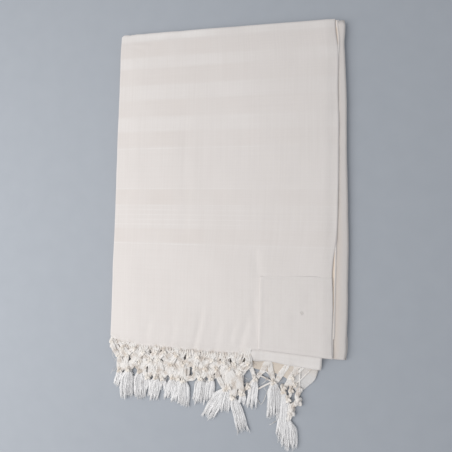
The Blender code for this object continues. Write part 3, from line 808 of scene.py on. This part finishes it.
def add_hairs(yarns, count, low, high, rng):
    """Loose single yarns that stray out of the net, within a range of x."""
    share = np.linspace(0, 1, 9)
    for _ in range(count):
        x0, y0 = rng.uniform(low, high), rng.uniform(-0.052, -0.012)
        angle = rng.uniform(-1.1, 1.1)
        length, bend = rng.uniform(0.006, 0.017), rng.uniform(-1.6, 1.6)
        heading = angle + bend * share
        x = x0 + np.cumsum(np.sin(heading)) * length / len(share)
        y = y0 - np.cumsum(np.cos(heading)) * length / len(share)
        z = lie(y0, UPPERMOST) + 0.0015 * np.sin(share * pi) + 0.0008
        yarns.tube(np.column_stack([x, y, np.maximum(z - 0.002 * share, 0.0006)]), HAIR_RADIUS)


def add_loose_yarns(yarns, rows):
    """Pulled single yarns that lie in a bow on the surface."""
    for row in rows:
        spots = [(x, y, 0.0012) for x, y in zip(row[0::2], row[1::2])]
        yarns.tube(curve_through(spots, 12), LOOSE_RADIUS)


def finish_fringe(name, node, yarns, knots, material, knot_material):
    """The two pieces of one end's fringe: its strands and its knots."""
    finish_piece(yarns.to_object(name, material), "fringe", node)
    finish_piece(knots.to_object(name + "_knots", knot_material), "fringe")


def build_first_fringe(material, knot_material):
    """The fringe below the visible end's hem, without its tassels."""
    rng = np.random.default_rng(11)
    yarns, knots = Yarns(), Yarns()
    for depths, start, level, ply in NETS:
        add_net(yarns, knots, depths, start, level, rng, ply)
    add_tassel_knots(knots, TASSELS[:FIRST_END_TASSELS], UPPERMOST, rng)
    add_hairs(yarns, FIRST_HAIRS, 0.0, 0.197, rng)
    add_loose_yarns(yarns, FIRST_LOOSE_YARNS)
    finish_fringe("first_end_fringe", "first_end_fringe_net", yarns, knots, material, knot_material)


def build_second_fringe(material, knot_material):
    """The second end's fringe, which hangs from under its flap."""
    rng = np.random.default_rng(12)
    yarns, knots = Yarns(), Yarns()
    for head_x, head_y, foot_x, foot_y, width in SECOND_STRANDS:
        add_leg(yarns, (head_x, head_y), (foot_x, foot_y), FLAP_LEVEL, 0.0014, rng, width)
    add_tassel_knots(knots, TASSELS[FIRST_END_TASSELS:-1], FLAP_LEVEL, rng)
    for x, y, size in SECOND_KNOTS:
        knots.knot((x, y, UNDER_FLAP + 0.0012), (rng.uniform(-0.8, 0.8), -1.0), size, rng)
    add_hairs(yarns, SECOND_HAIRS, 0.2, 0.27, rng)
    add_loose_yarns(yarns, SECOND_LOOSE_YARNS)
    finish_fringe("second_end_fringe", "second_end_fringe_net", yarns, knots, material, knot_material)


def build_tassel(number, row, material):
    """The cut ends of a bundle below its knot, fanned out on the surface."""
    start, end, (width, level) = np.array(row[:2]), np.array(row[2:4]), row[4:]
    rng = np.random.default_rng(100 + number)
    length = np.hypot(*(end - start))
    down = (end - start) / length
    aside = np.array((-down[1], down[0]))
    share = np.linspace(0, 1, 12)
    bow = rng.uniform(-0.05, 0.05) * length
    yarns = Yarns()

    tufts = np.linspace(-0.84, 0.84, max(int(round(width / TUFT_PITCH)), 2))
    tufts = tufts + rng.uniform(-0.1, 0.1, len(tufts))
    tuft_reach = rng.uniform(0.91, 1.05, len(tufts))

    def add(spot, layer, reach, radius, wander):
        nearest = int(np.argmin(np.abs(tufts - spot)))
        gathered = spot + TUFT_DRAW * (tufts[nearest] - spot) * rising(share, 0.45, 0.55)
        reach = reach * tuft_reach[nearest] * (1 - 0.35 * abs(tufts[nearest] - spot))
        neck = TASSEL_NECK + (1 - TASSEL_NECK) * rising(share, 0.01, 0.34)
        wave = wander * share * np.sin(share * rng.uniform(5, 12) + rng.uniform(0, 6.3))
        flick = rng.normal(0, 0.9 * wander) * share ** 3
        lateral = gathered * width * TASSEL_SPREAD * neck + wave + flick + bow * np.sin(share * pi * 0.9)
        low = radius + 0.0003 + layer * 0.34 * width * np.sqrt(1 - 0.75 * spot * spot)
        high = lie(start[1], level) + (layer - 0.5) * 0.0026
        z = high + (low - high) * smooth(share / 0.55) + 0.0004 * share * np.sin(share * 9 + spot * 5)
        plan = start + down * (share * reach)[:, None] + aside * lateral[:, None]
        taper = radius * (1 - 0.45 * rising(share, 0.8, 0.2))
        yarns.tube(np.column_stack([plan, np.maximum(z, radius + 0.0002)]), taper)

    # Thick soft bundles inside, then the loose yarns over them.
    for spot in np.linspace(-0.9, 0.9, int(round(width / TASSEL_BUNDLE_PITCH))):
        add(spot, 0.3, length * rng.uniform(0.93, 0.99), TASSEL_BUNDLE_RADIUS, 0.0003)
    for _ in range(int(TASSEL_YARNS[0] + TASSEL_YARNS[1] * width)):
        add(rng.uniform(-1, 1), rng.random(), length * rng.uniform(0.88, 1.06), TASSEL_YARN_RADIUS, 0.0008)
    finish_piece(yarns.to_object(f"yarns_of_tassel_{number:02d}", material), "fringe", f"tassel_{number:02d}")


def build_corner_cord(material):
    """The cord from the second end's corner, with two big knots."""
    rng = np.random.default_rng(13)
    yarns = Yarns()
    path = curve_through([(x, y, 0.0026) for x, y in CORNER_CORD], 30)
    yarns.strand(path, CORD_WIDTH, CORD_HEIGHT, *CORD_PLY, CORD_TWIST, rng)
    for number in CORD_KNOTS:
        yarns.knot((*CORNER_CORD[number], 0.0034), (-0.5, -1.0), CORD_KNOT, rng)
    finish_piece(yarns.to_object("corner_cord_yarns", material), "fringe", "corner_cord")


# ---- Stitching on the patch ----

def build_patch_stitches(material):
    """Small slanting stitches inside the patch's left and top edges, and the eyelet's ring."""
    yarns = Yarns()
    stitch = np.linspace(0, 1, 5)

    def add(x0, y0, x1, y1):
        x, y = x0 + stitch * (x1 - x0), y0 + stitch * (y1 - y0)
        z = patch_surface(x, y) + STITCH_RISE * np.sin(stitch * pi)
        yarns.tube(np.column_stack([x, y, z]), HAIR_RADIUS)

    for y in np.arange(PATCH_BOTTOM + 0.008, PATCH_TOP - 0.003, STITCH_PITCH):
        add(PATCH_LEFT + SEAM_INSET, y, PATCH_LEFT + SEAM_INSET + 0.0002, y + STITCH_LENGTH)
    for x in np.arange(PATCH_LEFT + 0.004, PATCH_RIGHT - 0.003, STITCH_PITCH):
        top = patch_top((x - PATCH_LEFT) / (PATCH_RIGHT - PATCH_LEFT)) - SEAM_INSET
        add(x, top, x + STITCH_LENGTH, top)
    for angle in np.linspace(0, 2 * pi, EYELET_STITCHES, endpoint=False):
        outward = np.array((np.cos(angle), np.sin(angle)))
        add(*(EYELET + EYELET_INSIDE * outward), *(EYELET + EYELET_OUTSIDE * outward))
    finish_piece(yarns.to_object("patch_stitches", material), "patch")


# ---- Materials ----

SHADER_INPUTS = {
    "colour": "Base Color", "roughness": "Roughness", "specular": "Specular IOR Level", "alpha": "Alpha",
    "sheen": "Sheen Weight", "sheen_roughness": "Sheen Roughness",
}


class Graph:
    """Short ways to add the nodes of a material."""

    def __init__(self, name):
        self.material = bpy.data.materials.new(name)
        self.material.use_nodes = True
        self.nodes = self.material.node_tree.nodes
        self.links = self.material.node_tree.links
        self.shader = self.nodes["Principled BSDF"]

    def surface(self, **values):
        """Sets the shader's inputs."""
        for name, value in values.items():
            self.put(self.shader.inputs[SHADER_INPUTS[name]], value)

    def put(self, socket, value):
        """Gives a socket a value, or links another socket's output to it."""
        if isinstance(value, bpy.types.NodeSocket):
            self.links.new(value, socket)
        else:
            socket.default_value = value

    def math(self, operation, *values):
        """The result of a sum on sockets or numbers."""
        node = self.nodes.new("ShaderNodeMath")
        node.operation = operation
        for socket, value in zip(node.inputs, values):
            self.put(socket, value)
        return node.outputs[0]

    def times(self, first, second):
        return self.math("MULTIPLY", first, second)

    def plus(self, first, second):
        return self.math("ADD", first, second)

    def step(self, value, low, high, to_low=0.0, to_high=1.0):
        """An S-curve from one value at low to another at high."""
        node = self.nodes.new("ShaderNodeMapRange")
        node.interpolation_type = "SMOOTHSTEP"
        for name, number in zip(("Value", "From Min", "From Max", "To Min", "To Max"),
                                (value, low, high, to_low, to_high)):
            self.put(node.inputs[name], number)
        return node.outputs["Result"]

    def band(self, value, low, high, blur):
        """1 between low and high, and 0 outside them, with blurred ends."""
        begins = self.step(value, low - blur, low + blur)
        ends = self.step(value, high - blur, high + blur, 1.0, 0.0)
        return self.times(begins, ends)

    def mix(self, factor, first, second):
        """A colour between two."""
        node = self.nodes.new("ShaderNodeMix")
        node.data_type = "RGBA"
        self.put(node.inputs["Factor"], factor)
        self.put(node.inputs["A"], first)
        self.put(node.inputs["B"], second)
        return node.outputs["Result"]

    def noise(self, vector, scale, detail=2.0):
        """Soft uneven tone, between 0 and 1."""
        node = self.nodes.new("ShaderNodeTexNoise")
        node.inputs["Scale"].default_value = scale
        node.inputs["Detail"].default_value = detail
        self.links.new(vector, node.inputs["Vector"])
        return node.outputs["Fac"]

    def place(self, scale_u, scale_v):
        """The point's place in the cloth, scaled, as a vector."""
        coordinates = self.nodes.new("ShaderNodeUVMap")
        coordinates.uv_map = CLOTH_MAP
        mapping = self.nodes.new("ShaderNodeMapping")
        mapping.inputs["Scale"].default_value = (scale_u, scale_v, 1.0)
        self.links.new(coordinates.outputs["UV"], mapping.inputs["Vector"])
        return mapping.outputs["Vector"]

    def position(self):
        """The point's place in its object."""
        return self.nodes.new("ShaderNodeTexCoord").outputs["Object"]

    def split(self, vector):
        """A vector's first two parts."""
        node = self.nodes.new("ShaderNodeSeparateXYZ")
        self.links.new(vector, node.inputs[0])
        return node.outputs["X"], node.outputs["Y"]

    def bump(self, height, distance, strength=1.0):
        """Relief on the surface, from a height."""
        node = self.nodes.new("ShaderNodeBump")
        node.inputs["Distance"].default_value = distance
        node.inputs["Strength"].default_value = strength
        self.links.new(height, node.inputs["Height"])
        self.links.new(node.outputs["Normal"], self.shader.inputs["Normal"])


YARN_PITCH = 0.00055
TWISTS_AROUND, TWISTS_ALONG = 2 * pi / 0.001, 4200.0
MOTTLE_SCALE = 120.0
WARM_BANDS = (  # low, high, strength, blur
    (0.414, 0.437, 0.85, 0.003), (0.372, 0.398, 0.7, 0.003), (0.324, 0.35, 0.7, 0.003),
    (0.28, 0.303, 0.75, 0.0025), (0.195, 0.2175, 1.0, 0.0012), (0.141, 0.161, 1.0, 0.0012),
)
# The first row is a painted highlight along the top fold; the others are woven bands and lines.
BRIGHT_BANDS_AND_FOLD_HIGHLIGHT = (  # low, high, strength, blur
    (0.44, 0.47, 1.6, 0.0025), (0.398, 0.414, 0.7, 0.003), (0.35, 0.372, 0.6, 0.003),
    (0.303, 0.324, 0.7, 0.003), (0.2768, 0.2782, 1.0, 0.0006), (0.218, 0.2194, 1.0, 0.0005),
    (0.1382, 0.1396, 1.0, 0.0005),
)
FINE_LINES = (0.164, 0.1965, 0.0069, 0.167)  # low, high, pitch, where one line is
LINE_BLUR = 0.0008
BAND_SHARE = 0.8
PLAIN = (0.8, 0.752, 0.726, 1.0)
WARM = (0.765, 0.704, 0.668, 1.0)
BRIGHT = (0.86, 0.822, 0.8, 1.0)
# A darker copy of the shawl's cloth, for the layers that lie lower: painted shade.
LOWER_SHADED = (0.715, 0.672, 0.645, 1.0)
STREAK = (*(0.9 * c for c in WARM[:3]), 1.0)
SHADED = (0.82, 0.69, 0.57, 1.0)
# Painted warm shade beside the panel's selvedge, on the layer below it.
DEEP_SHADE = (0.7, 0.622, 0.565, 1.0)
# A lighter copy of the shawl's cloth, for the second end: painted light.
FLAP_LIT = (0.842, 0.802, 0.778, 1.0)
PATCH = (0.79, 0.745, 0.72, 1.0)
SHEER = (0.86, 0.845, 0.84, 1.0)
SHEER_SHADED = (0.74, 0.655, 0.57, 1.0)


def weave(graph, u, v):
    """The height of a plain weave of warp and weft."""
    warp = graph.math("SINE", graph.times(u, 2 * pi / YARN_PITCH))
    weft = graph.math("SINE", graph.times(v, 2 * pi / YARN_PITCH))
    return graph.times(warp, weft)


def all_bands(graph, v, rows):
    """How strongly the rows of a table show along the cloth: woven bands, and in the bright table a painted
    highlight along the top fold too.
    """
    total = 0.0
    for low, high, strength, blur in rows:
        total = graph.plus(total, graph.times(graph.band(v, low, high, blur), strength))
    return total


def fine_lines(graph, v):
    """The thin lines between two of the bands."""
    low, high, pitch, start = FINE_LINES
    phase = graph.times(graph.math("SUBTRACT", v, start), 2 * pi / pitch)
    line = graph.step(graph.math("COSINE", phase), 0.55, 0.95)
    return graph.times(line, graph.band(v, low, high, LINE_BLUR))


def striped_colour(graph, u, v, plain):
    """White-on-white bands across the end, in patches and made fainter towards its selvedge by a painted
    sheen fade, with a painted highlight along the top fold, and painted warm shade on its lower ply.
    """
    # Painted warm shade on the lower ply, up to just inside its selvedge.
    colour = graph.mix(graph.band(u, -0.311, -0.2, 0.0008), plain, SHADED)
    warm = all_bands(graph, v, WARM_BANDS)
    bright = graph.plus(all_bands(graph, v, BRIGHT_BANDS_AND_FOLD_HIGHLIGHT), graph.times(fine_lines(graph, v), BAND_SHARE))
    # The bands show in patches, and a painted sheen fade makes them fainter towards the selvedge.
    band_patches_and_sheen_fade = graph.step(graph.noise(graph.place(19.0, 12.0), 1.0), 0.3, 0.7, 0.3, 1.0)
    band_patches_and_sheen_fade = graph.times(band_patches_and_sheen_fade, graph.step(u, 0.05, 0.26, 1.0, 0.32))
    for strength, tint in ((warm, WARM), (bright, BRIGHT)):
        colour = graph.mix(graph.times(graph.times(strength, band_patches_and_sheen_fade), BAND_SHARE), colour, tint)
    return colour


def yarn_streaks(graph):
    """Uneven yarns along and across the cloth, and slow patches of tone."""
    warp = graph.noise(graph.place(420.0, 9.0), 1.0, 3.0)
    weft = graph.noise(graph.place(7.0, 520.0), 1.0, 3.0)
    patches = graph.noise(graph.place(14.0, 11.0), 1.0)
    return graph.plus(graph.plus(graph.times(warp, 0.5), graph.times(weft, 0.3)), graph.times(patches, 0.35))


def cloth_material(name, plain=PLAIN, striped=False, shade_beside=None):
    """White cloth: yarn streaks, a fine weave and, where asked, bands or painted shade just inside a line."""
    graph = Graph(name)
    u, v = graph.split(graph.place(1.0, 1.0))
    colour = plain
    if shade_beside:
        # Painted warm shade in a band just inside the line.
        begins = graph.step(u, shade_beside - 0.02, shade_beside - 0.014)
        ends = graph.step(u, shade_beside - 0.004, shade_beside + 0.006, 1.0, 0.0)
        colour = graph.mix(graph.times(begins, ends), plain, DEEP_SHADE)
    if striped:
        colour = striped_colour(graph, u, v, plain)
    streak = yarn_streaks(graph)
    colour = graph.mix(graph.step(streak, 0.34, 0.88, 0.0, 0.4), colour, STREAK)
    graph.surface(colour=colour, roughness=0.88, sheen=0.12, sheen_roughness=0.5, specular=0.25)
    threads = graph.plus(weave(graph, u, v), graph.times(streak, 1.6))
    graph.bump(threads, 0.00006, 0.7)
    return graph.material


def sheer_material():
    """The thin under half: open weave, shaded where it goes in under the flap."""
    graph = Graph("sheer cloth")
    x, y = graph.split(graph.place(1.0, 1.0))
    hidden = graph.step(graph.plus(x, graph.times(y, -0.6)), 0.268, 0.292, 1.0, 0.0)
    near_flap = graph.step(y, -0.036, -0.027)
    mottled = graph.step(graph.noise(graph.place(260.0, 260.0), 1.0), 0.3, 0.7)
    shade = graph.math("MAXIMUM", hidden, graph.times(near_flap, 0.35))
    colour = graph.mix(shade, SHEER, SHEER_SHADED)
    colour = graph.mix(graph.times(mottled, 0.22), colour, SHEER_SHADED)
    graph.surface(colour=colour, roughness=0.88, specular=0.25, alpha=graph.step(shade, 0.0, 1.0, 0.86, 1.0))
    graph.bump(weave(graph, x, y), 0.00008, 0.8)
    return graph.material


def yarn_material(name, colour, shade):
    """Soft twisted yarn: a slanting twist round each strand, and painted shade in patches that change from
    place to place, for the shadows among the strands.
    """
    graph = Graph(name)
    around, run = graph.split(graph.place(1.0, 1.0))
    twist = graph.plus(graph.times(around, TWISTS_AROUND), graph.times(run, TWISTS_ALONG))
    # Painted shade in patches, for the shadows among the strands.
    shade_patches = graph.noise(graph.position(), MOTTLE_SCALE)
    mottled = graph.mix(graph.step(shade_patches, 0.42, 0.7), colour, shade)
    graph.surface(colour=mottled, roughness=0.8, sheen=0.2, specular=0.25)
    graph.bump(graph.math("SINE", twist), 0.00008, 0.6)
    return graph.material


# ---- Camera, lights and floor ----

FOCAL_SHARE = 0.76991  # the focal length as a share of the sensor's width
CAMERA_PLACE = (0.2461, 0.1468, 0.4885)
CAMERA_TURN = (2.512, 9.564, 1.418)
WINDOW_PLACE, WINDOW_TARGET = (-0.5, 0.02, 0.85), (0.16, 0.2, 0.0)
WINDOW_SIZE, WINDOW_POWER, SKY_STRENGTH = 1.1, 9.5, 0.5
WINDOW_LIGHT, SKY_LIGHT = (1.0, 0.985, 0.96), (0.93, 0.96, 1.0, 1.0)
FLOOR_SHADES = (0.4, 0.425, 0.465, 1.0), (0.43, 0.455, 0.495, 1.0)
FLOOR_HALF = 3.0
FLOOR_GAP = 0.0003


def build_camera():
    """A camera above the shawl, tilted as the photograph's was."""
    camera = bpy.data.cameras.new("camera")
    camera.sensor_fit = "HORIZONTAL"
    camera.angle = 2 * atan(0.5 / FOCAL_SHARE)
    camera.clip_start = 0.01
    thing = add_object("camera", camera)
    thing.location = Vector(CAMERA_PLACE) + Vector(ORIGIN)
    thing.rotation_euler = Euler([radians(a) for a in CAMERA_TURN])
    bpy.context.scene.camera = thing


def build_lights():
    """One soft window on the left and a pale sky."""
    light = bpy.data.lights.new("window", "AREA")
    light.size = WINDOW_SIZE
    light.energy = WINDOW_POWER
    light.color = WINDOW_LIGHT
    thing = add_object("window", light)
    thing.location = Vector(WINDOW_PLACE) + Vector(ORIGIN)
    aim = Vector(WINDOW_TARGET) + Vector(ORIGIN) - thing.location
    thing.rotation_euler = aim.to_track_quat("-Z", "Y").to_euler()
    world = bpy.data.worlds.new("world")
    world.use_nodes = True
    background = world.node_tree.nodes["Background"]
    background.inputs["Color"].default_value = SKY_LIGHT
    background.inputs["Strength"].default_value = SKY_STRENGTH
    bpy.context.scene.world = world
    bpy.context.scene.view_settings.view_transform = "Standard"


def build_floor():
    """The plain pale floor that the shawl lies on."""
    graph = Graph("floor")
    grain = graph.noise(graph.position(), 40.0, 3.0)
    graph.surface(colour=graph.mix(grain, *FLOOR_SHADES), roughness=0.95, specular=0.1)
    mesh = bpy.data.meshes.new("floor")
    corners = [(x * FLOOR_HALF, y * FLOOR_HALF, 0) for x, y in ((-1, -1), (1, -1), (1, 1), (-1, 1))]
    mesh.from_pydata(corners, [], [(0, 1, 2, 3)])
    mesh.materials.append(graph.material)
    floor = add_object("floor", mesh)
    floor.location.z = -FLOOR_GAP


# ---- The scene ----

build_camera()
build_lights()
build_floor()

STRIPED = cloth_material("striped cloth", striped=True)
# The layers below: a darker copy of the cloth as painted shade, and painted warm shade beside the panel's
# selvedge.
LOWER_SHADED_CLOTH = cloth_material("lower shaded cloth", LOWER_SHADED, shade_beside=0.299)
# The second end gets the lighter copy of the cloth as painted light.
FLAP_LIT_CLOTH = cloth_material("flap lit cloth", FLAP_LIT)
PATCH_CLOTH = cloth_material("patch cloth", PATCH)
SHEER_CLOTH = sheer_material()
NET_YARN = yarn_material("net yarn", (0.885, 0.853, 0.825, 1.0), (0.715, 0.65, 0.595, 1.0))
KNOT_YARN = yarn_material("knot yarn", (0.89, 0.84, 0.785, 1.0), (0.76, 0.68, 0.6, 1.0))
STITCH_YARN = yarn_material("stitch yarn", (0.87, 0.835, 0.81, 1.0), (0.83, 0.79, 0.76, 1.0))
TASSEL_YARN = yarn_material("tassel yarn", (0.945, 0.932, 0.932, 1.0), (0.9, 0.885, 0.885, 1.0))

build_middle(LOWER_SHADED_CLOTH)
build_second_end(FLAP_LIT_CLOTH)
build_visible_end(STRIPED)
build_under_corner(SHEER_CLOTH)
build_patch(PATCH_CLOTH)
build_patch_stitches(STITCH_YARN)
build_first_fringe(NET_YARN, KNOT_YARN)
build_second_fringe(NET_YARN, KNOT_YARN)
for number, row in enumerate(TASSELS, start=1):
    build_tassel(number, row, TASSEL_YARN)
build_corner_cord(NET_YARN)
